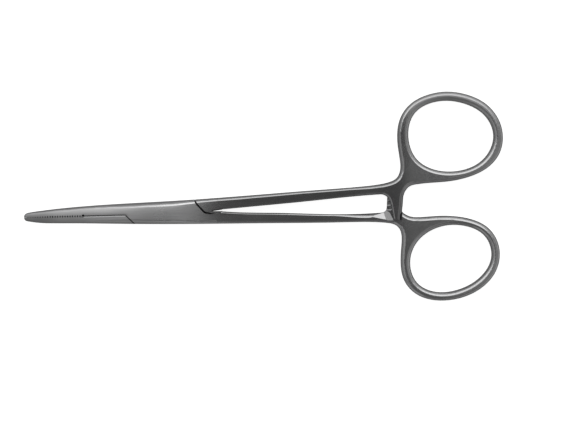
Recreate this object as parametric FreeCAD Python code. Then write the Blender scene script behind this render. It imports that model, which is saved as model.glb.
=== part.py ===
import FreeCAD, Part
import os
import math
from FreeCAD import Vector

# ---------------------------------------------------------------------------
# Straight box-lock hemostat forceps, closed, lying flat.
# Millimetres.  Origin: pivot axis, on the underside of the box lock.
# +X runs from the pivot towards the finger rings, +Y is across the forceps,
# +Z is up.  The upper outline in plan is the half with the round ring.
# ---------------------------------------------------------------------------

# --- thickness -------------------------------------------------------------
BOX_THICK = 5.0            # box lock, pin length
MID = BOX_THICK / 2.0      # level at which the two ratchet arms meet
WALL = 1.5                 # each cheek of the box lock
TONGUE_CLEAR = 0.03        # tongue to cheek, each side
# half thickness along the length: (X, half thickness), flat between the two
HALF_THICK_L = [(-43.0, 0.80), (-38.0, 1.00), (-32.0, 1.32), (-25.0, 1.70),
                (-18.0, 2.06), (-12.0, 2.34), (-6.0, 2.50)]
HALF_THICK_R = [(6.0, 2.50), (11.0, 2.488), (16.0, 2.44), (21.0, 2.365),
                (27.0, 2.27), (34.0, 2.175), (50.0, 2.03), (66.0, 1.96),
                (82.0, 1.98), (101.0, 2.02)]

# --- pivot -----------------------------------------------------------------
PIN_R = 1.5
PIN_BORE_R = 1.55          # running bore in the tongue

# --- edge rounding ---------------------------------------------------------
R_TIP = 0.42
R_JAW = 0.86
R_JAW_ROOT = 1.14
R_BOX = 1.45
R_SHANK = 0.96             # outer edges of the two shanks, at the box
R_SHANK_END = 0.74         # the same edges near the ratchet
R_INNER = 0.50             # inner edges of the two shanks
R_RING = 1.15
R_ARM = 0.45

# --- lock seams and slot (plan) --------------------------------------------
A = (-11.62, -0.56)        # end of the mating line, start of the left seam
C = (-8.93, -3.16)         # left seam at the lower edge
E = (11.85, -0.09)         # right seam at the crotch line
SEAM_R_LINE = [(8.72, 3.86), (8.90, 3.16), (9.33, 2.50), (10.05, 1.76),
               (11.12, 0.62), E]   # right seam from the upper edge, curved
PIT = [(11.32, 0.38), (11.90, 0.43), (12.60, 0.33), (13.35, 0.09),
       (14.00, -0.04), (14.95, -0.15), (14.00, -0.25), (13.20, -0.30),
       (12.20, -0.27), (11.70, -0.08)]   # dark pit at the foot of that seam
PIT_DEPTH = 0.95
B = (-7.90, 2.96)          # slot end at the upper edge
F = (8.20, -3.10)          # slot end at the lower edge
SEAM_L = 0.30              # gap of the left seam
SEAM_R = 0.54              # gap of the right seam
SLOT_END = 0.10            # tongue to slot end
CROTCH = (16.689, 0.834)   # middle of the gap between the shanks at its start
CROTCH_REACH = 0.4
CROTCH_SLIT = 0.03         # slit from the right seam to the point of that gap
APEX = (13.70, 0.60)       # the point
APEX_UP = (16.56, 1.06)    # its two sides run into the gap here
APEX_LO = (16.52, 0.60)

# --- jaw faces -------------------------------------------------------------
MATE0 = (-41.27, -1.26)    # mating line at the tip
MATE1 = (-11.71, -0.56)    # mating line at the box
TEETH_X0 = -40.60
TEETH_X1 = -24.35
TEETH_PITCH = 0.73
TEETH_DEPTH = 0.20
TEETH_GAP = 0.016
RELIEF_GAP = 0.016
# edge break of the plain part, in section (across, up), upper jaw side last
RELIEF_VEE = [(-0.43, 0.0), (-0.16, -0.09), (-0.04, -0.48), (0.04, -0.48),
              (0.16, 0.0), (0.16, 0.5), (-0.43, 0.5)]
APEX_VEE = [(-0.30, 0.0), (0.0, -0.60), (0.30, 0.0), (0.30, 0.5), (-0.30, 0.5)]
POCKET_X = (-33.4, -24.6)  # open tooth roots, dark from above, at full size
POCKET = (0.21, 0.40, 0.6) # half length, half width and depth of one
NOTCH = (-24.0, -0.77)     # end of the teeth
NOTCH_R = 0.40
NOTCH_DEPTH = 1.1

# --- ratchet ---------------------------------------------------------------
ARM_TIP_Y = -1.95          # tip of the arm of the upper half
ARM_AXIS_Y = 2.69          # the arm of the lower half mirrors about this line
RATCHET_TEETH = 3
RATCHET_PITCH = 1.35
RATCHET_TOOTH_H = 0.55
RATCHET_LIFT = 0.05        # each arm's tooth tips stay this far off MID
RECESS_GAP = 0.15

RECESS_FLOOR = 2.40        # floor under the tip of the opposite arm

# --- outlines in plan: poles and knots of cubic curves ----------------------
TOP_POLES = [(-41.33, -1.317), (-41.594, -1.118), (-41.391, -0.28), (-40.182, 0.151), (-36.661, 0.694), (-28.513, 1.701), (-15.122, 2.721), (2.485, 3.547), (21.959, 4.951), (40.446, 6.53), (54.032, 7.438), (61.759, 8.239), (65.335, 8.994), (67.73, 9.989), (68.916, 12.536), (68.68, 15.577), (67.917, 19.469), (67.643, 23.862), (68.609, 28.524), (71.708, 32.529), (76.43, 34.808), (82.105, 35.879), (87.962, 35.017), (93.706, 32.585), (97.629, 28.007), (99.094, 22.485), (98.061, 17.103), (94.324, 12.94), (89.001, 10.448), (83.069, 9.146), (77.727, 8.942), (73.92, 8.548), (71.385, 8.109), (70.065, 6.515), (69.449, 4.841), (69.467, 1.917), (68.947, -0.263), (68.961, -1.844)]
TOP_KNOTS = [0.0, 0.737, 1.619, 3.527, 11.44, 26.232, 43.806, 64.309, 84.813, 99.459, 105.167, 108.108, 110.462, 112.672, 115.902, 119.71, 124.546, 128.947, 133.79, 139.07, 144.638, 150.795, 156.804, 162.965, 168.248, 173.68, 178.818, 184.534, 191.126, 196.984, 200.502, 202.706, 204.473, 206.225, 208.332, 213.011]
BOT_POLES = [(-41.33, -1.317), (-41.609, -1.486), (-41.265, -2.252), (-40.028, -2.424), (-36.483, -3.024), (-27.393, -2.869), (-12.223, -3.174), (8.228, -3.214), (29.696, -2.866), (47.848, -2.845), (59.367, -2.441), (64.772, -2.786), (67.311, -3.182), (68.868, -4.794), (69.281, -7.214), (68.93, -10.491), (68.68, -14.747), (69.32, -19.81), (72.896, -23.877), (77.586, -25.546), (82.575, -25.664), (87.766, -24.596), (92.594, -22.111), (96.376, -18.207), (98.098, -13.328), (97.51, -8.074), (94.533, -3.785), (89.511, -1.495), (84.062, -0.676), (78.511, -0.746), (74.352, -1.259), (71.607, -1.071), (70.161, -0.344), (69.413, 0.12), (69.238, 0.581)]
BOT_KNOTS = [0.0, 0.588, 1.469, 3.671, 11.288, 28.711, 49.206, 72.629, 93.124, 103.664, 107.181, 109.388, 111.303, 113.509, 116.731, 121.123, 126.402, 131.542, 136.241, 141.223, 146.349, 152.062, 157.337, 162.326, 167.314, 172.746, 177.438, 183.441, 189.298, 193.984, 196.036, 197.51, 198.828]
INUP_POLES = [(16.689, 1.133), (24.392, 1.891), (39.829, 3.154), (55.205, 5.047), (62.935, 5.508)]
INUP_KNOTS = [0.0, 23.23, 46.46]
INLO_POLES = [(16.689, 0.535), (22.073, 0.081), (32.879, 0.273), (48.293, -0.467), (58.321, -0.2), (62.929, 0.151)]
INLO_KNOTS = [0.0, 16.197, 32.394, 46.278]
HOLE_UP = [(97.112, 22.527), (93.699, 29.549), (86.785, 32.718), (79.626, 33.329), (72.238, 30.203), (70.327, 22.822), (72.585, 15.269), (79.401, 11.959), (86.938, 12.143), (93.613, 15.198)]
HOLE_LO = [(96.444, -13.21), (94.107, -5.745), (87.228, -3.2), (80.34, -3.403), (73.953, -6.942), (70.806, -13.26), (72.524, -20.802), (79.283, -23.714), (86.297, -22.556), (92.274, -19.319)]


def V(p, z=0.0):
    return Vector(p[0], p[1], z)


def open_curve(poles, knots):
    c = Part.BSplineCurve()
    mults = [4] + [1] * (len(knots) - 2) + [4]
    c.buildFromPolesMultsKnots([V(p) for p in poles], mults, knots, False, 3)
    return c


def piece(curve, u0, u1):
    c = curve.copy()
    c.segment(min(u0, u1), max(u0, u1))
    return c.toShape()


def param_at_x(curve, x, u0, u1):
    # first parameter between u0 and u1 where the curve crosses this X
    n = 400
    ua, fa = u0, curve.value(u0).x - x
    for i in range(1, n + 1):
        ub = u0 + (u1 - u0) * i / n
        fb = curve.value(ub).x - x
        if fa * fb <= 0.0:
            for _ in range(50):
                um = 0.5 * (ua + ub)
                fm = curve.value(um).x - x
                if fa * fm <= 0.0:
                    ub, fb = um, fm
                else:
                    ua, fa = um, fm
            return 0.5 * (ua + ub)
        ua, fa = ub, fb
    raise ValueError("no crossing")


def bezier(p0, t0, p1, t1, k=0.36):
    # cubic blend leaving p0 along t0 and arriving at p1 along t1
    d = (p1 - p0).Length * k
    c = Part.BezierCurve()
    c.setPoles([p0, p0 + t0.normalize() * d, p1 - t1.normalize() * d, p1])
    return c.toBSpline()


TOP = open_curve(TOP_POLES, TOP_KNOTS)
BOT = open_curve(BOT_POLES, BOT_KNOTS)
INUP = open_curve(INUP_POLES, INUP_KNOTS)
INLO = open_curve(INLO_POLES, INLO_KNOTS)


def hole_wire(poles):
    c = Part.BSplineCurve()
    c.buildFromPoles([V(p) for p in poles], True, 3)
    return Part.Wire([c.toShape()])


def polygon(points):
    pts = [V(p) for p in points]
    return Part.Face(Part.makePolygon(pts + [pts[0]]))


def prism(points, z0, z1):
    f = polygon(points)
    f.translate(Vector(0, 0, z0))
    return f.extrude(Vector(0, 0, z1 - z0))


def profile_body(y0=-60.0, y1=60.0):
    # everything within the half thickness either side of z = 0
    edges = []
    flat = Vector(1, 0, 0)
    (xl, hl), (xr, hr) = HALF_THICK_L[-1], HALF_THICK_R[0]
    (xa, ha), (xb, hb) = HALF_THICK_L[0], HALF_THICK_R[-1]
    for s in (1.0, -1.0):
        left = Part.BSplineCurve()
        left.interpolate(Points=[Vector(x, y0, s * h) for x, h in HALF_THICK_L],
                         InitialTangent=Vector(1, 0, s * 0.040),
                         FinalTangent=flat)
        right = Part.BSplineCurve()
        right.interpolate(Points=[Vector(x, y0, s * h) for x, h in HALF_THICK_R],
                          InitialTangent=flat,
                          FinalTangent=Vector(1, 0, s * 0.002))
        edges += [left.toShape(), right.toShape(),
                  Part.makeLine(Vector(xl, y0, s * hl), Vector(xr, y0, s * hr))]
    edges.append(Part.makeLine(Vector(xb, y0, hb), Vector(xb, y0, -hb)))
    edges.append(Part.makeLine(Vector(xa, y0, -ha), Vector(xa, y0, ha)))
    w = Part.Wire(Part.__sortEdges__(edges))
    return Part.Face(w).extrude(Vector(0, y1 - y0, 0))


def lerp_table(table, x):
    if x <= table[0][0]:
        return table[0][1]
    for (x0, v0), (x1, v1) in zip(table, table[1:]):
        if x <= x1:
            return v0 + (v1 - v0) * (x - x0) / (x1 - x0)
    return table[-1][1]


RADIUS = [(-42.0, R_TIP), (-38.0, 0.54), (-32.0, 0.70), (-25.0, R_JAW),
          (-20.0, 0.98), (-16.0, R_JAW_ROOT), (-11.0, 1.38), (-6.0, R_BOX),
          (0.0, 1.40), (6.0, 1.28), (10.0, 1.10), (15.0, R_SHANK),
          (25.0, 0.93), (40.0, 0.78), (54.0, R_SHANK_END), (61.0, 0.84),
          (66.0, 1.05), (72.0, R_RING), (100.0, R_RING)]
SPLIT_X = [-38.0, -32.0, -25.0, -20.0, -16.0, -11.0, -6.0, 0.0, 6.0, 10.0, 15.0]
SHANK_X = [25.0, 40.0, 54.0, 61.0]   # further points on the outer shank edges


def round_edges(shape, choose):
    # choose(edge) returns None or the radii at the first and last vertex
    doc = FreeCAD.newDocument("rounding")
    base = doc.addObject("Part::Feature", "base")
    base.Shape = shape
    fil = doc.addObject("Part::Fillet", "fil")
    fil.Base = base
    todo = []
    for i, e in enumerate(shape.Edges):
        r = choose(e)
        if r is not None:
            todo.append((i + 1, r[0], r[1]))
    fil.Edges = todo
    doc.recompute()
    out = fil.Shape.copy()
    FreeCAD.closeDocument(doc.Name)
    return out


# --- closed outline of each half with its ratchet arm ------------------------
TIP_UT, TIP_UB = 1.9, 1.7          # where the rounded tip takes over
STUB_X = 20.0                      # the other shank is carried this far


def tip_edges():
    a, ta = TOP.value(TIP_UT), TOP.tangent(TIP_UT)[0] * -1
    b, tb = BOT.value(TIP_UB), BOT.tangent(TIP_UB)[0]
    m = Vector(-41.36, 0.5 * (a.y + b.y) - 0.03, 0)
    e1 = bezier(a, ta, m, Vector(0, -1, 0), 0.46)
    e2 = bezier(m, Vector(0, -1, 0), b, tb, 0.46)
    return [e1.toShape(), e2.toShape()]


def crotch_edge():
    pu, pl = INUP.value(0), INLO.value(0)
    tu, tl = INUP.tangent(0)[0] * -1, INLO.tangent(0)[0]
    c = Part.BezierCurve()
    c.setPoles([pu, pu + tu * CROTCH_REACH, pl - tl * CROTCH_REACH, pl])
    return c.toShape()


def run(curve, params):
    return [piece(curve, a, b) for a, b in zip(params, params[1:])]


# plan points of the two arms (inner edge side and root corners)
UARM_L0 = Vector(66.12, 2.00, 0)   # upper half's arm, inner edge, root
UARM_L1 = Vector(67.30, -4.60, 0)  # the same edge carried past the tip
LARM_L0 = Vector(64.78, 1.75, 0)   # lower half's arm, inner edge, root
LARM_L1 = Vector(65.20, 10.0, 0)


def outline_upper():
    e = run(TOP, [TIP_UT] + [param_at_x(TOP, x, 1.0, 104.0)
                             for x in SPLIT_X + SHANK_X]
            + [105.0, 112.0, 124.5, 150.8, 173.7, 191.1, 200.5, 208.3, 213.011])
    p, t = TOP.value(213.011), TOP.tangent(213.011)[0]
    q = p + t * ((-4.60 - p.y) / t.y)
    e.append(Part.makeLine(p, q))
    e.append(Part.makeLine(q, UARM_L1))
    e.append(Part.makeLine(UARM_L1, UARM_L0))
    c = bezier(UARM_L0, (UARM_L0 - UARM_L1), INUP.value(46.46),
               INUP.tangent(46.46)[0] * -1, 0.385)
    e.append(c.toShape())
    e += run(INUP, [0.0, 33.0, 46.46])
    e.append(crotch_edge())
    ul = param_at_x(INLO, STUB_X, 0.0, 30.0)
    ub = param_at_x(BOT, STUB_X, 1.0, 100.0)
    e.append(piece(INLO, 0.0, ul))
    e.append(Part.makeLine(INLO.value(ul), BOT.value(ub)))
    e += run(BOT, [TIP_UB] + [param_at_x(BOT, x, 1.0, 100.0) for x in SPLIT_X]
             + [ub])
    e += tip_edges()
    return Part.Wire(Part.__sortEdges__(e))


def outline_lower():
    e = run(BOT, [TIP_UB] + [param_at_x(BOT, x, 1.0, 103.0)
                             for x in SPLIT_X + SHANK_X]
            + [103.7, 111.3, 121.1, 146.3, 167.3, 183.4, 194.0, 198.828])
    p, t = BOT.value(198.828), BOT.tangent(198.828)[0]
    m = Vector(69.06, 2.6, 0)
    q = Vector(69.00, 10.0, 0)
    e.append(bezier(p, t, m, q - m, 0.40).toShape())
    e.append(Part.makeLine(m, q))
    e.append(Part.makeLine(q, LARM_L1))
    e.append(Part.makeLine(LARM_L1, LARM_L0))
    c = bezier(LARM_L0, (LARM_L0 - LARM_L1), INLO.value(46.278),
               INLO.tangent(46.278)[0] * -1, 0.46)
    e.append(c.toShape())
    e += run(INLO, [0.0, 32.394, 46.278])
    e.append(crotch_edge())
    uu = param_at_x(INUP, STUB_X, 0.0, 30.0)
    ut = param_at_x(TOP, STUB_X, 1.0, 100.0)
    e.append(piece(INUP, 0.0, uu))
    e.append(Part.makeLine(INUP.value(uu), TOP.value(ut)))
    e += run(TOP, [TIP_UT] + [param_at_x(TOP, x, 1.0, 100.0) for x in SPLIT_X]
             + [ut])
    e += tip_edges()
    return Part.Wire(Part.__sortEdges__(e))


def near(p, q, tol=1e-3):
    return p.distanceToPoint(Vector(q.x, q.y, p.z)) < tol


def blank(wire, hole, arm_a, arm_b, arm_end_y):
    # the rounded forging of one half before the lock and ratchet are cut
    f = Part.Face(wire).cut(Part.Face(hole_wire(hole)))
    s = f.extrude(Vector(0, 0, 8))
    s.translate(Vector(0, 0, -4))
    s = s.common(profile_body()).Solids[0]

    def radius(p):
        if near(p, arm_a) or near(p, arm_b):
            return R_ARM
        if 15.0 < p.x < 51.0 and -1.0 < p.y < 2.3 + 0.06 * p.x:
            return R_INNER
        return lerp_table(RADIUS, p.x)

    def choose(e):
        bb = e.BoundBox
        if bb.ZMin < 0.3 and bb.ZMax > -0.3:
            return None
        a, b = e.valueAt(e.FirstParameter), e.valueAt(e.LastParameter)
        if abs(a.x - STUB_X) < 1e-3 and abs(b.x - STUB_X) < 1e-3:
            return None
        if abs(a.y - arm_end_y) < 1e-3 and abs(b.y - arm_end_y) < 1e-3:
            return None
        return (radius(a), radius(b))

    s = round_edges(s, choose)
    s.translate(Vector(0, 0, MID))
    return s


def shift(p, q, d):
    # the segment p-q moved d to its left
    dx, dy = q[0] - p[0], q[1] - p[1]
    n = math.hypot(dx, dy)
    ox, oy = -dy / n * d, dx / n * d
    return (p[0] + ox, p[1] + oy), (q[0] + ox, q[1] + oy)


def shift_line(points, d):
    # a bent line moved d to its left, corners kept
    segs = [shift(a, b, d) for a, b in zip(points, points[1:])]
    out = [segs[0][0]]
    for (a, b), (c, e) in zip(segs, segs[1:]):
        out.append(((b[0] + c[0]) / 2.0, (b[1] + c[1]) / 2.0))
    return out + [segs[-1][1]]


def at_y(p, q, y):
    t = (y - p[1]) / (q[1] - p[1])
    return (p[0] + t * (q[0] - p[0]), y)


def mate_y(x):
    t = (x - MATE0[0]) / (MATE1[0] - MATE0[0])
    return MATE0[1] + t * (MATE1[1] - MATE0[1])


def jaw_face(side):
    # plan line of one jaw face from the tip to the box, side +1 upper, -1 lower
    g = side * TEETH_GAP / 2.0
    r = side * RELIEF_GAP / 2.0
    pts = [(-46.0, mate_y(-46.0) + g), (TEETH_X0, mate_y(TEETH_X0) + g)]
    x, k = TEETH_X0, 0
    while x + TEETH_PITCH / 2.0 < TEETH_X1:
        x += TEETH_PITCH / 2.0
        k += 1
        z = TEETH_DEPTH / 2.0 * (1 if k % 2 else -1)
        pts.append((x, mate_y(x) + z + g))
    pts.append((-12.2, mate_y(-12.2) + r))
    return pts


def groove(p, q, hp, hq, section):
    # groove of this section over the line p-q, on the upper face and on the
    # lower one; hp and hq are the half thicknesses at its two ends
    dx, dy = q[0] - p[0], q[1] - p[1]
    n = math.hypot(dx, dy)
    nx, ny = -dy / n, dx / n
    tools = []
    for s in (1.0, -1.0):
        pts = [Vector(p[0] + nx * o, p[1] + ny * o, MID + s * (hp + e))
               for o, e in section]
        f = Part.Face(Part.makePolygon(pts + [pts[0]]))
        tools.append(f.extrude(Vector(dx, dy, s * (hq - hp))))
    return tools


def tooth_pockets():
    # small open roots where the teeth of the two jaws meet
    tools = []
    x = TEETH_X0 + TEETH_PITCH / 2.0
    while x < TEETH_X1:
        k = (x - TEETH_X0) / (POCKET_X[0] - TEETH_X0)
        k = 0.30 + 0.70 * min(1.0, max(0.0, k))
        a, b, d = POCKET[0] * k, POCKET[1] * k, POCKET[2]
        y = mate_y(x)
        h = lerp_table(HALF_THICK_L, x)
        dia = [(x - a, y), (x, y - b), (x + a, y), (x, y + b)]
        tools.append(prism(dia, MID + h - d, 7.0))
        tools.append(prism(dia, -1.0, MID - h + d))
        x += TEETH_PITCH
    h = lerp_table(HALF_THICK_L, NOTCH[0])
    for z0, z1 in ((MID + h - NOTCH_DEPTH, 7.0), (-1.0, MID - h + NOTCH_DEPTH)):
        tools.append(Part.makeCylinder(NOTCH_R, z1 - z0,
                                       Vector(NOTCH[0], NOTCH[1], z0)))
    return tools


def seam_breaks(side):
    # broken edges along the plain part of the mating line and along the slit
    h = [lerp_table(HALF_THICK_L, x) for x in (NOTCH[0], A[0])]
    m = (NOTCH[0], mate_y(NOTCH[0]))
    tools = groove(m, (A[0] + 0.02, mate_y(A[0] + 0.02)), h[0], h[1], RELIEF_VEE)
    he = lerp_table(HALF_THICK_R, E[0])
    tools.append(prism(PIT, MID + he - PIT_DEPTH, 7.0))
    tools.append(prism(PIT, -1.0, MID - he + PIT_DEPTH))
    tools += groove(APEX, APEX_UP if side > 0 else APEX_LO, he,
                    lerp_table(HALF_THICK_R, APEX_UP[0]), APEX_VEE)
    return tools


def tilted_cut(point, normal, poly, z0, z1):
    # the part of a plan polygon lying on the outer side of a tilted plane
    n = Vector(*normal).normalize()
    slab = Part.makeBox(80, 80, 40, Vector(-40, -40, 0))
    slab.Placement = FreeCAD.Placement(Vector(*point),
                                       FreeCAD.Rotation(Vector(0, 0, 1), n))
    slab2 = Part.makeBox(80, 80, 40)
    slab2.Placement = slab.Placement.multiply(
        FreeCAD.Placement(Vector(-40, -40, 0), FreeCAD.Rotation()))
    return prism(poly, z0, z1).common(slab2)


def mir(p):
    # plan mirror about the line between the two shanks at the ratchet
    return (p[0], 2.0 * ARM_AXIS_Y - p[1])


# plan region over the lower half's arm that the upper half's arm moves in
RELIEF_L = [(69.13, -2.25), (69.22, 0.10), (70.30, 1.20), (71.0, 12.0),
            (62.0, 12.0), (62.0, 2.4), (64.25, 1.05), (65.6, 0.10),
            (66.30, -1.35), (66.95, -2.05), (67.4, -2.25)]
RELIEF_U = [(69.55, 7.63), (69.50, 5.30), (71.0, 3.80), (71.0, -8.0),
            (62.0, -8.0), (62.0, 3.0),
            (64.10, 4.33), (64.62, 5.2), (64.66, 6.40), (64.95, 7.2), (65.7, 7.63)]
UARM_TIP = [(66.45, -0.65), (66.62, -1.25), (67.00, -1.75), (67.60, -2.02),
            (68.50, -2.05), (68.85, -1.85), (69.05, -1.45)]
LARM_TIP = [(64.95, 6.05), (65.15, 6.75), (65.60, 7.20), (66.30, 7.42),
            (68.30, 7.43), (68.75, 7.25), (69.08, 6.80)]
FACET_POLY = [(56.0, 3.0), (56.0, -2.1), (65.0, -2.1), (66.9, -2.1), (66.9, 3.0)]


def arm_teeth(side):
    # sawtooth grooves across an arm: side +1 on the upper half's arm
    tools = []
    zt = MID + side * RATCHET_LIFT
    zr = zt + side * RATCHET_TOOTH_H
    mid = ARM_AXIS_Y
    y0 = mid - RATCHET_PITCH * RATCHET_TEETH / 2.0
    for k in range(RATCHET_TEETH):
        ya = y0 + k * RATCHET_PITCH
        yb = ya + RATCHET_PITCH
        # steep face towards the arm's own ring side, ramp towards its tip
        if side > 0:
            tri = [(ya + 0.10, zt - side * 0.3), (ya + 0.10, zt), (yb - 0.12, zr),
                   (yb, zt), (yb, zt - side * 0.3)]
        else:
            tri = [(ya, zt - side * 0.3), (ya, zt), (ya + 0.12, zr),
                   (yb - 0.10, zt), (yb - 0.10, zt - side * 0.3)]
        w = Part.makePolygon([Vector(60.0, y, z) for y, z in tri]
                             + [Vector(60.0, tri[0][0], tri[0][1])])
        tools.append(Part.Face(w).extrude(Vector(14.0, 0, 0)))
    return tools


def solid_of(shape):
    return max(shape.Solids, key=lambda q: q.Volume)


def carve(shape, tools):
    return solid_of(shape.cut(tools))


def arm_end(points, beyond_y):
    # everything beyond the rounded tip of an arm
    x0, x1 = 62.0, 72.0
    first, last = points[0], points[-1]
    return ([(x0, first[1]), first] + points[1:-1]
            + [last, (x1, last[1]), (x1, beyond_y), (x0, beyond_y)])


# --- upper half: lower jaw, tongue, upper shank and ring ---------------------
A_m, C_m = shift(A, C, -SEAM_L / 2.0)      # away from the box
RS_m = shift_line(SEAM_R_LINE, SEAM_R / 2.0)   # right of the right seam
At_m, Bt_m = shift(A, B, -SLOT_END / 2.0)  # the tongue's left end
Et_m, Ft_m = shift(E, F, -SLOT_END / 2.0)  # the tongue's right end
SL_m = shift_line([E, APEX], CROTCH_SLIT / 2.0) + [APEX_UP]
SL_f = shift_line([E, APEX], -CROTCH_SLIT / 2.0) + [APEX_LO]
A_f, C_f = shift(A, C, SEAM_L / 2.0)
RS_f = shift_line(SEAM_R_LINE, -SEAM_R / 2.0)
At_f, Bt_f = shift(A, B, SLOT_END / 2.0)
Et_f, Ft_f = shift(E, F, SLOT_END / 2.0)
BIG = 12.0

upper = blank(outline_upper(), HOLE_UP, UARM_L0, UARM_L1, -4.60)
# room for the other half's jaw, above the jaw face and left of the tongue
cut = [prism(jaw_face(-1) + [at_y(At_m, Bt_m, mate_y(-11.7) - RELIEF_GAP / 2.0),
                             at_y(At_m, Bt_m, BIG), (-46.0, BIG)], -1, 7)]
# room for the cheeks of the box, above and below the tongue
cheek = [at_y(A_m, C_m, 0.4), at_y(A_m, C_m, -BIG), (20.0, -BIG),
         (20.0, -3.0), at_y(RS_m[-2], RS_m[-1], -0.6)] + RS_m[-2:0:-1] + [
         at_y(RS_m[0], RS_m[1], BIG), (-9.0, BIG), (-12.5, 0.4)]
cut.append(prism(cheek, -1.0, WALL + TONGUE_CLEAR))
cut.append(prism(cheek, BOX_THICK - WALL - TONGUE_CLEAR, 7.0))
# room for the other half's shank, below the slit and right of the tongue
cut.append(prism([at_y(Et_m, Ft_m, -0.08), at_y(Et_m, Ft_m, -BIG), (24.0, -BIG),
                  (24.0, CROTCH[1] + 0.1), CROTCH, SL_m[2], SL_m[1], SL_m[0]],
                 -1, 7))
# ratchet arm: lower side taken off, teeth, rounded tip
relief_z = MID + RATCHET_LIFT
cut.append(prism(RELIEF_U, -1.0, relief_z))
cut.append(prism(arm_end(UARM_TIP, -9.0), -1, 7))
cut += arm_teeth(+1)
cut.append(tilted_cut((64.5, 7.26, 0.538), (0.046, -0.22, -1.0),
                      [mir(p) for p in FACET_POLY], -1.0, MID))
cut.append(tilted_cut((64.5, 7.28, 0.538), (0.283, -0.30, -1.0),
                      [mir(p) for p in FACET_POLY], -1.0, MID))
cut.append(Part.makeCylinder(PIN_BORE_R, 8, Vector(0, 0, -1)))
cut += seam_breaks(+1) + tooth_pockets()
upper = carve(upper, cut)

# --- lower half: upper jaw, box, lower shank and ring ------------------------
lower = blank(outline_lower(), HOLE_LO, LARM_L0, LARM_L1, 10.0)
cut = [prism(jaw_face(+1) + [at_y(A_f, C_f, mate_y(-11.5)),
                             at_y(A_f, C_f, -BIG), (-46.0, -BIG)], -1, 7)]
cut.append(prism([at_y(RS_f[0], RS_f[1], BIG)] + RS_f[1:-1]
                 + [at_y(RS_f[-2], RS_f[-1], 0.05), SL_f[0], SL_f[1], SL_f[2],
                  CROTCH, (24.0, CROTCH[1] + 0.1), (24.0, BIG)],
                 -1, 7))
cut.append(prism([at_y(At_f, Bt_f, BIG), at_y(At_f, Bt_f, -0.9),
                  (-11.9, -BIG), at_y(Et_f, Ft_f, -BIG), at_y(Et_f, Ft_f, 0.3),
                  (13.5, BIG)], WALL, BOX_THICK - WALL))
relief_z = MID - RATCHET_LIFT
cut.append(prism(RELIEF_L, relief_z, 7.0))
cut.append(prism(arm_end(LARM_TIP, 14.0), -1, 7))
cut += arm_teeth(-1)
cut.append(tilted_cut((64.5, -1.88, 4.462), (0.046, 0.22, 1.0), FACET_POLY,
                      MID, 6.0))
cut.append(tilted_cut((64.5, -1.90, 4.462), (0.283, 0.30, 1.0), FACET_POLY,
                      MID, 6.0))
cut.append(Part.makeCylinder(PIN_R, 8, Vector(0, 0, -1)))
cut += seam_breaks(-1) + tooth_pockets()
lower = carve(lower, cut)

# --- pivot pin, ground flush with both cheeks --------------------------------
pin = Part.makeCylinder(PIN_R, BOX_THICK, Vector(0, 0, 0))

os.makedirs("parts", exist_ok=True)
PARTS = {"box_half": lower, "tongue_half": upper, "pivot_pin": pin}
for name, shape in PARTS.items():
    shape.exportStep("parts/" + name + ".step")
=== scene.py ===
import bpy
import math
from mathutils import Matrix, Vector

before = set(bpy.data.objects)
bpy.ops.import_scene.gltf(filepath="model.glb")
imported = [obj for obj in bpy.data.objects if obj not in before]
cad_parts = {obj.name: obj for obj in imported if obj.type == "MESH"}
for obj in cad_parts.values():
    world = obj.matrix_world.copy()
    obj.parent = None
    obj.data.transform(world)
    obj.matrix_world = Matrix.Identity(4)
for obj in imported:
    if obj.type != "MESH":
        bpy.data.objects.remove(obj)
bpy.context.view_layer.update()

MM = 0.001

# the photograph's frame: 579 x 423 pixels, 140 mm of object over 478.3 pixels
PX = 140.0 / 478.3 * MM
IMG_W, IMG_H = 579, 423
PIVOT_PX = (165.0, 212.7)


# ---------------------------------------------------------------- camera
def make_camera():
    cam = bpy.data.cameras.new("camera")
    obj = bpy.data.objects.new("camera", cam)
    bpy.context.scene.collection.objects.link(obj)
    cam.sensor_width = 36.0
    cam.lens = 150.0
    width = IMG_W * PX
    dist = width / 2.0 / (cam.sensor_width / 2.0 / cam.lens)
    cx = (IMG_W / 2.0 - PIVOT_PX[0] - 0.55) * PX
    cy = (PIVOT_PX[1] - IMG_H / 2.0 + 0.50) * PX
    obj.location = (cx, cy, dist + 2.5 * MM)
    obj.rotation_euler = (0.0, 0.0, 0.0)
    cam.clip_start, cam.clip_end = 0.01, 50.0
    bpy.context.scene.camera = obj
    return obj


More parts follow.
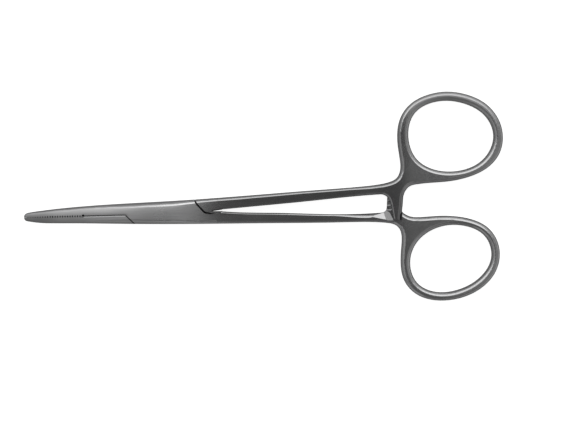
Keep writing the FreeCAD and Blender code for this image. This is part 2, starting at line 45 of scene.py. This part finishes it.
# ---------------------------------------------------------------- materials
class Tree:
    def __init__(self, name):
        self.mat = bpy.data.materials.new(name)
        self.mat.use_nodes = True
        self.t = self.mat.node_tree
        self.t.nodes.clear()
        self.out = self.t.nodes.new("ShaderNodeOutputMaterial")

    def node(self, kind, **props):
        n = self.t.nodes.new(kind)
        for k, v in props.items():
            setattr(n, k, v)
        return n

    def link(self, a, b):
        self.t.links.new(a, b)

    def math(self, op, a, b=None, clamp=False):
        n = self.node("ShaderNodeMath", operation=op, use_clamp=clamp)
        for i, v in enumerate((a, b)):
            if v is None:
                continue
            if isinstance(v, (int, float)):
                n.inputs[i].default_value = v
            else:
                self.link(v, n.inputs[i])
        return n.outputs[0]

    def noise(self, vec, scale, detail=4.0, rough=0.55, dist=0.0):
        n = self.node("ShaderNodeTexNoise")
        n.noise_dimensions = "3D"
        self.link(vec, n.inputs["Vector"])
        n.inputs["Scale"].default_value = scale
        n.inputs["Detail"].default_value = detail
        n.inputs["Roughness"].default_value = rough
        n.inputs["Distortion"].default_value = dist
        return n.outputs["Fac"]

    def mapping(self, vec, scale=(1, 1, 1), rot=(0, 0, 0)):
        n = self.node("ShaderNodeMapping")
        n.inputs["Scale"].default_value = scale
        n.inputs["Rotation"].default_value = rot
        self.link(vec, n.inputs["Vector"])
        return n.outputs["Vector"]

    def ramp(self, fac, stops):
        n = self.node("ShaderNodeValToRGB")
        cr = n.color_ramp
        while len(cr.elements) < len(stops):
            cr.elements.new(0.5)
        for e, (p, c) in zip(cr.elements, stops):
            e.position = p
            e.color = c if len(c) == 4 else (*c, 1.0)
        self.link(fac, n.inputs["Fac"])
        return n.outputs["Color"]

    def mix(self, fac, a, b):
        n = self.node("ShaderNodeMix", data_type="FLOAT")
        for k, v in ((0, fac), (2, a), (3, b)):
            if isinstance(v, (int, float)):
                n.inputs[k].default_value = v
            else:
                self.link(v, n.inputs[k])
        return n.outputs[0]

    def scale_colour(self, col, fac):
        n = self.node("ShaderNodeVectorMath", operation="SCALE")
        self.link(col, n.inputs[0])
        self.link(fac, n.inputs["Scale"])
        return n.outputs["Vector"]

    def poly(self, x, k):
        return self.math("ADD", k[0], self.math(
            "MULTIPLY", x, self.math("ADD", k[1], self.math("MULTIPLY", x, k[2]))))

    def crown(self, sep):
        # the jaws and box are ground with a slight crown across their width
        x, y = sep.outputs["X"], sep.outputs["Y"]
        half = self.math("MAXIMUM", self.poly(x, HALF), 0.0012)
        v = self.math("DIVIDE", self.math("SUBTRACT", y, self.poly(x, MIDDLE)), half)
        v = self.math("MINIMUM", self.math("MAXIMUM", v, -1.3), 1.3)
        v2 = self.math("MULTIPLY", v, v)
        lin = self.mix(self.map_range(x, -0.0150, -0.0065, 0.0, 1.0, smooth=True),
                       CROWN_JAW, self.map_range(x, 0.0015, 0.0070, CROWN_BOX,
                                                 CROWN_ROOT, smooth=True))
        drop = self.math("ADD", self.math("MULTIPLY", v2, self.math("MULTIPLY", lin, 0.5)),
                         self.math("MULTIPLY", self.math("MULTIPLY", v2, v2),
                                   CROWN_EDGE * 0.25))
        fade = self.map_range(x, 0.008, 0.020, 1.0, 0.0, smooth=True)
        h = self.math("MULTIPLY", self.math("MULTIPLY", drop, half), fade)
        # towards the tip the two jaws also meet in a slight ridge
        off = self.math("ABSOLUTE", self.math("SUBTRACT", y, self.poly(x, MATE)))
        ridge = self.math("MULTIPLY", off, self.map_range(
            x, -0.026, -0.013, RIDGE, 0.0, smooth=True))
        h = self.math("ADD", h, ridge)
        b = self.node("ShaderNodeBump")
        b.inputs["Strength"].default_value = 1.0
        b.inputs["Distance"].default_value = 1.0
        self.link(self.math("MULTIPLY", h, -1.0), b.inputs["Height"])
        return b.outputs["Normal"]

    def map_range(self, v, a, b, c, d, smooth=False):
        n = self.node("ShaderNodeMapRange")
        n.interpolation_type = "SMOOTHSTEP" if smooth else "LINEAR"
        self.link(v, n.inputs["Value"])
        for k, x in zip(("From Min", "From Max", "To Min", "To Max"), (a, b, c, d)):
            n.inputs[k].default_value = x
        return n.outputs["Result"]


# slope of the crown at the edge: jaws, box, right end of the box, and the
# extra fall near the edge; RIDGE is the slope of each jaw away from the teeth
CROWN_JAW, CROWN_BOX, CROWN_ROOT, CROWN_EDGE = 0.17, 0.12, 0.04, 0.12
RIDGE = 0.02
# softness of the ground faces, by region
ROUGH_JAW, ROUGH_BOX = 0.36, 0.235
# middle line and half width of the jaws and box in plan: a + b x + c x^2, metres
MIDDLE = (0.00018863, 0.03193049, 0.00609902)
HALF = (0.00341563, 0.03005696, -0.48373501)
# the mating line of the jaws, the same way
MATE = (-0.0002827, 0.02368, 0.0)


def satin_steel(name, tone=0.55, rough=0.20, shank_tone=0.74, inner_tone=1.0,
                arm_tone=1.0):
    s = Tree(name)
    co = s.node("ShaderNodeTexCoord").outputs["Object"]
    sep = s.node("ShaderNodeSeparateXYZ")
    s.link(co, sep.inputs["Vector"])
    x = sep.outputs["X"]
    # brushing runs along the jaws, box and shanks, and fades out on the rings
    along = s.mapping(co, scale=(90.0, 2600.0, 2600.0))
    fine = s.mapping(co, scale=(1500.0, 1500.0, 1500.0))
    brush = s.noise(along, 1.0, 3.0, 0.6)
    grain = s.noise(fine, 1.0, 3.0, 0.6)
    shank = s.map_range(x, 0.058, 0.070, 1.0, 0.15, smooth=True)
    micro = s.mix(shank, grain, brush)
    cloud = s.noise(co, 120.0, 3.0, 0.5)
    # painted shade and light: the shanks are darkened and the right end of the box is
    # lightened in the base colour, in place of reflections the lamps don't give
    fall = s.map_range(x, 0.0045, 0.0155, 0.0, 1.0, smooth=True)
    rise = s.map_range(x, 0.0665, 0.0735, 1.0, 0.0, smooth=True)
    dark = s.math("MULTIPLY", fall, rise)
    painted_light_tone = s.mix(dark, s.map_range(x, -0.006, 0.003, 1.0, 1.14, smooth=True),
                   shank_tone)
    # painted shade: the very ends of the jaws are darkened, to dim their reflections
    painted_light_tone = s.math("MULTIPLY", painted_light_tone, s.map_range(
        x, -0.0375, -0.0290, 0.76, 1.0, smooth=True))
    painted_light_tone = s.math("MULTIPLY", painted_light_tone, s.map_range(
        x, -0.0270, -0.0165, 0.82, 1.0, smooth=True))
    # painted shade: the rings are darkened a little, to dim their highlights
    painted_light_tone = s.math("MULTIPLY", painted_light_tone, s.map_range(
        x, 0.0660, 0.0740, 1.0, 0.81, smooth=True))
    # painted shade: the plain part of the jaws is darkened beside the mating line, to dim
    # the highlight on its edge
    y = sep.outputs["Y"]
    off = s.math("SUBTRACT", y, s.poly(x, MATE))
    near = s.math("MULTIPLY", s.map_range(off, 0.0, 0.0011, 1.0, 0.0),
                  s.map_range(off, -0.00060, -0.00040, 0.0, 1.0, smooth=True))
    span = s.math("MULTIPLY", s.map_range(x, -0.0250, -0.0235, 0.0, 1.0, smooth=True),
                  s.map_range(x, -0.0122, -0.0100, 1.0, 0.0, smooth=True))
    painted_light_tone = s.math("MULTIPLY", painted_light_tone, s.map_range(
        s.math("MULTIPLY", near, span), 0.0, 1.0, 1.0, 0.66))
    # painted shade: one half's shank is darkened along its inner edge, to dim its
    # highlight
    inner = s.math("MULTIPLY", s.map_range(y, -0.0006, -0.0001, 0.0, 1.0, smooth=True),
                   s.math("MULTIPLY",
                          s.map_range(x, 0.0150, 0.0175, 0.0, 1.0, smooth=True),
                          s.map_range(x, 0.0400, 0.0520, 1.0, 0.0, smooth=True)))
    painted_light_tone = s.math("MULTIPLY", painted_light_tone, s.map_range(
        inner, 0.0, 1.0, 1.0, inner_tone))
    # painted shade: the rounded outer side of the upper ratchet arm is darkened to match
    # its face
    side = s.math("SUBTRACT", x, s.math("MULTIPLY", y, 0.12))
    arm = s.math("MULTIPLY", s.map_range(side, 0.0679, 0.0684, 0.0, 1.0, smooth=True),
                 s.map_range(y, 0.0050, 0.0085, 1.0, 0.0, smooth=True))
    painted_light_tone = s.math("MULTIPLY", painted_light_tone, s.map_range(arm, 0.0, 1.0, 1.0, arm_tone))
    # painted shade: crevices are darkened by ambient occlusion: seams, slit, tooth roots,
    # under the ratchet arm
    ao = s.node("ShaderNodeAmbientOcclusion", samples=12, only_local=False)
    ao.inputs["Distance"].default_value = 0.0009
    painted_crevice_shade = s.map_range(ao.outputs["AO"], 0.33, 0.76, 0.01, 1.0, smooth=True)
    # the painted crevice shade is weaker on the ratchet arms than on the lock
    crevice_shade_fade = s.map_range(x, 0.056, 0.062, 0.0, 0.85, smooth=True)
    painted_crevice_shade = s.mix(crevice_shade_fade, painted_crevice_shade, 1.0)
    bsdf = s.node("ShaderNodeBsdfPrincipled")
    bsdf.inputs["Metallic"].default_value = 1.0
    lo, hi = tone * 0.93, tone * 1.05
    shade = s.math("ADD", s.math("MULTIPLY", micro, 0.45), s.math("MULTIPLY", cloud, 0.55))
    col = s.ramp(shade, [(0.30, (lo, lo, lo * 1.01)), (0.70, (hi, hi, hi * 1.005))])
    # the base colour carries all the painted shade and light set above
    col = s.scale_colour(col, s.math("MULTIPLY", painted_light_tone, painted_crevice_shade))
    s.link(col, bsdf.inputs["Base Color"])
    # the jaws are matt, the box satin, the shanks and rings smoother
    base = s.mix(s.map_range(x, -0.0125, 0.004, 0.0, 1.0, smooth=True),
                 ROUGH_JAW, s.mix(s.map_range(x, 0.004, 0.012, 0.0, 1.0, smooth=True),
                                  ROUGH_BOX, s.mix(dark, s.map_range(
                                      sep.outputs["Y"], 0.022, 0.034, rough, 0.34,
                                      smooth=True), 0.155)))
    r = s.math("MULTIPLY", base, s.map_range(
        s.math("ADD", s.math("MULTIPLY", micro, 0.6), s.math("MULTIPLY", cloud, 0.4)),
        0.3, 0.7, 0.86, 1.18))
    s.link(r, bsdf.inputs["Roughness"])
    bump = s.node("ShaderNodeBump")
    bump.inputs["Strength"].default_value = 0.10
    bump.inputs["Distance"].default_value = 0.00002
    s.link(micro, bump.inputs["Height"])
    s.link(s.crown(sep), bump.inputs["Normal"])
    s.link(bump.outputs["Normal"], bsdf.inputs["Normal"])
    s.link(bsdf.outputs["BSDF"], s.out.inputs["Surface"])
    return s.mat


# ---------------------------------------------------------------- stage
def make_floor():
    me = bpy.data.meshes.new("floor")
    r = 6.0
    me.from_pydata([(-r, -r, 0), (r, -r, 0), (r, r, 0), (-r, r, 0)], [], [(0, 1, 2, 3)])
    o = bpy.data.objects.new("floor", me)
    bpy.context.scene.collection.objects.link(o)
    o.location = (0.03, 0.0, -0.00002)
    s = Tree("pale_floor")
    d = s.node("ShaderNodeBsdfDiffuse")
    d.inputs["Color"].default_value = (0.55, 0.55, 0.55, 1.0)
    e = s.node("ShaderNodeEmission")
    e.inputs["Color"].default_value = (1.0, 1.0, 1.0, 1.0)
    e.inputs["Strength"].default_value = 0.92
    add = s.node("ShaderNodeAddShader")
    s.link(d.outputs[0], add.inputs[0])
    s.link(e.outputs[0], add.inputs[1])
    lp = s.node("ShaderNodeLightPath")
    dim = s.node("ShaderNodeBsdfDiffuse")
    dim.inputs["Color"].default_value = (0.45, 0.45, 0.45, 1.0)
    mix = s.node("ShaderNodeMixShader")
    s.link(lp.outputs["Is Camera Ray"], mix.inputs[0])
    s.link(dim.outputs[0], mix.inputs[1])
    s.link(add.outputs[0], mix.inputs[2])
    s.link(mix.outputs[0], s.out.inputs["Surface"])
    me.materials.append(s.mat)
    return o


def area(name, pos, target, size, radiance):
    light = bpy.data.lights.new(name, "AREA")
    light.shape = "RECTANGLE"
    light.size, light.size_y = size
    light.energy = radiance * math.pi * size[0] * size[1]
    o = bpy.data.objects.new(name, light)
    bpy.context.scene.collection.objects.link(o)
    o.location = pos
    d = Vector(target) - Vector(pos)
    o.rotation_euler = d.to_track_quat("-Z", "Y").to_euler()
    return o


def aim(az, el, dist, centre=(0.03, 0.0, 0.0)):
    a, e = math.radians(az), math.radians(el)
    return (centre[0] + dist * math.cos(e) * math.cos(a),
            centre[1] + dist * math.cos(e) * math.sin(a),
            centre[2] + dist * math.sin(e))


def sky(t, zenith, horizon, plus_y, minus_y, plus_x, minus_x):
    # radiance by direction: one value overhead, others round the horizon
    def m(op, a, b=0.0, clamp=False):
        n = t.nodes.new("ShaderNodeMath")
        n.operation, n.use_clamp = op, clamp
        for k, v in enumerate((a, b)):
            if isinstance(v, (int, float)):
                n.inputs[k].default_value = v
            else:
                t.links.new(v, n.inputs[k])
        return n.outputs[0]

    d = t.nodes.new("ShaderNodeTexCoord").outputs["Generated"]
    sep = t.nodes.new("ShaderNodeSeparateXYZ")
    t.links.new(d, sep.inputs["Vector"])
    dx, dy, dz = sep.outputs["X"], sep.outputs["Y"], sep.outputs["Z"]
    low = m("SUBTRACT", 1.0, m("MAXIMUM", dz, 0.0), True)
    up_y = m("MULTIPLY", m("MAXIMUM", dy, 0.0), plus_y)
    dn_y = m("MULTIPLY", m("MAXIMUM", m("MULTIPLY", dy, -1.0), 0.0), minus_y)
    side = m("ADD", m("MULTIPLY", m("MAXIMUM", dx, 0.0), plus_x),
             m("MULTIPLY", m("MAXIMUM", m("MULTIPLY", dx, -1.0), 0.0), minus_x))
    hor = m("ADD", m("ADD", up_y, dn_y), m("ADD", side, horizon - zenith))
    return m("MAXIMUM", m("ADD", m("MULTIPLY", hor, low), zenith), 0.0)


def make_light():
    c = (0.03, 0.0, 0.0)
    # long soft box high on the +Y side, and a wider, weaker one behind it
    area("key", aim(94, 61, 1.2), c, (1.30, 0.74), 0.95)
    area("wide", aim(96, 52, 1.5), c, (3.2, 1.10), 0.30)
    # overhead panels, each one-sided and facing down
    area("over_jaws", (-0.165, 0.01, 0.26), (-0.165, 0.01, 0.0), (0.30, 0.30), 0.25)
    area("over_rings", (0.20, 0.0, 0.26), (0.20, 0.0, 0.0), (0.20, 0.30), 0.16)
    # low panel on the -Y side of the jaws and box
    area("low_jaws", (-0.121, -0.25, 0.16), (-0.121, 0.0, 0.16), (0.26, 0.30), 0.16)
    # narrow strip over the right end of the box
    area("over_box", (0.005, 0.0, 0.09), (0.005, 0.0, 0.0), (0.010, 0.10), 0.16)
    # low panel on the +Y side of the rings
    area("low_rings", (0.112, 0.30, 0.075), (0.112, 0.0, 0.075), (0.10, 0.15), 0.30)
    w = bpy.data.worlds.new("studio")
    bpy.context.scene.world = w
    w.use_nodes = True
    t = w.node_tree
    t.nodes.clear()
    out = t.nodes.new("ShaderNodeOutputWorld")
    dark = t.nodes.new("ShaderNodeBackground")
    dark.inputs["Color"].default_value = (1.0, 1.0, 1.0, 1.0)
    t.links.new(sky(t, 0.098, 0.26, 0.26, -0.03, 0.42, 0.14), dark.inputs["Strength"])
    white = t.nodes.new("ShaderNodeBackground")
    white.inputs["Color"].default_value = (0.95, 0.95, 0.95, 1.0)
    lp = t.nodes.new("ShaderNodeLightPath")
    mix = t.nodes.new("ShaderNodeMixShader")
    t.links.new(lp.outputs["Is Camera Ray"], mix.inputs[0])
    t.links.new(dark.outputs[0], mix.inputs[1])
    t.links.new(white.outputs[0], mix.inputs[2])
    t.links.new(mix.outputs[0], out.inputs["Surface"])


make_camera()
make_floor()
make_light()
bpy.context.scene.view_settings.view_transform = "Standard"

steel_a = satin_steel("steel_box_half", shank_tone=0.90, inner_tone=0.50)
steel_b = satin_steel("steel_tongue_half", shank_tone=0.72, arm_tone=0.62)
steel_p = satin_steel("steel_pin")
for node, mat in (("box_half", steel_a), ("tongue_half", steel_b), ("pivot_pin", steel_p)):
    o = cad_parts[node]
    for slot in o.material_slots:
        slot.material = mat
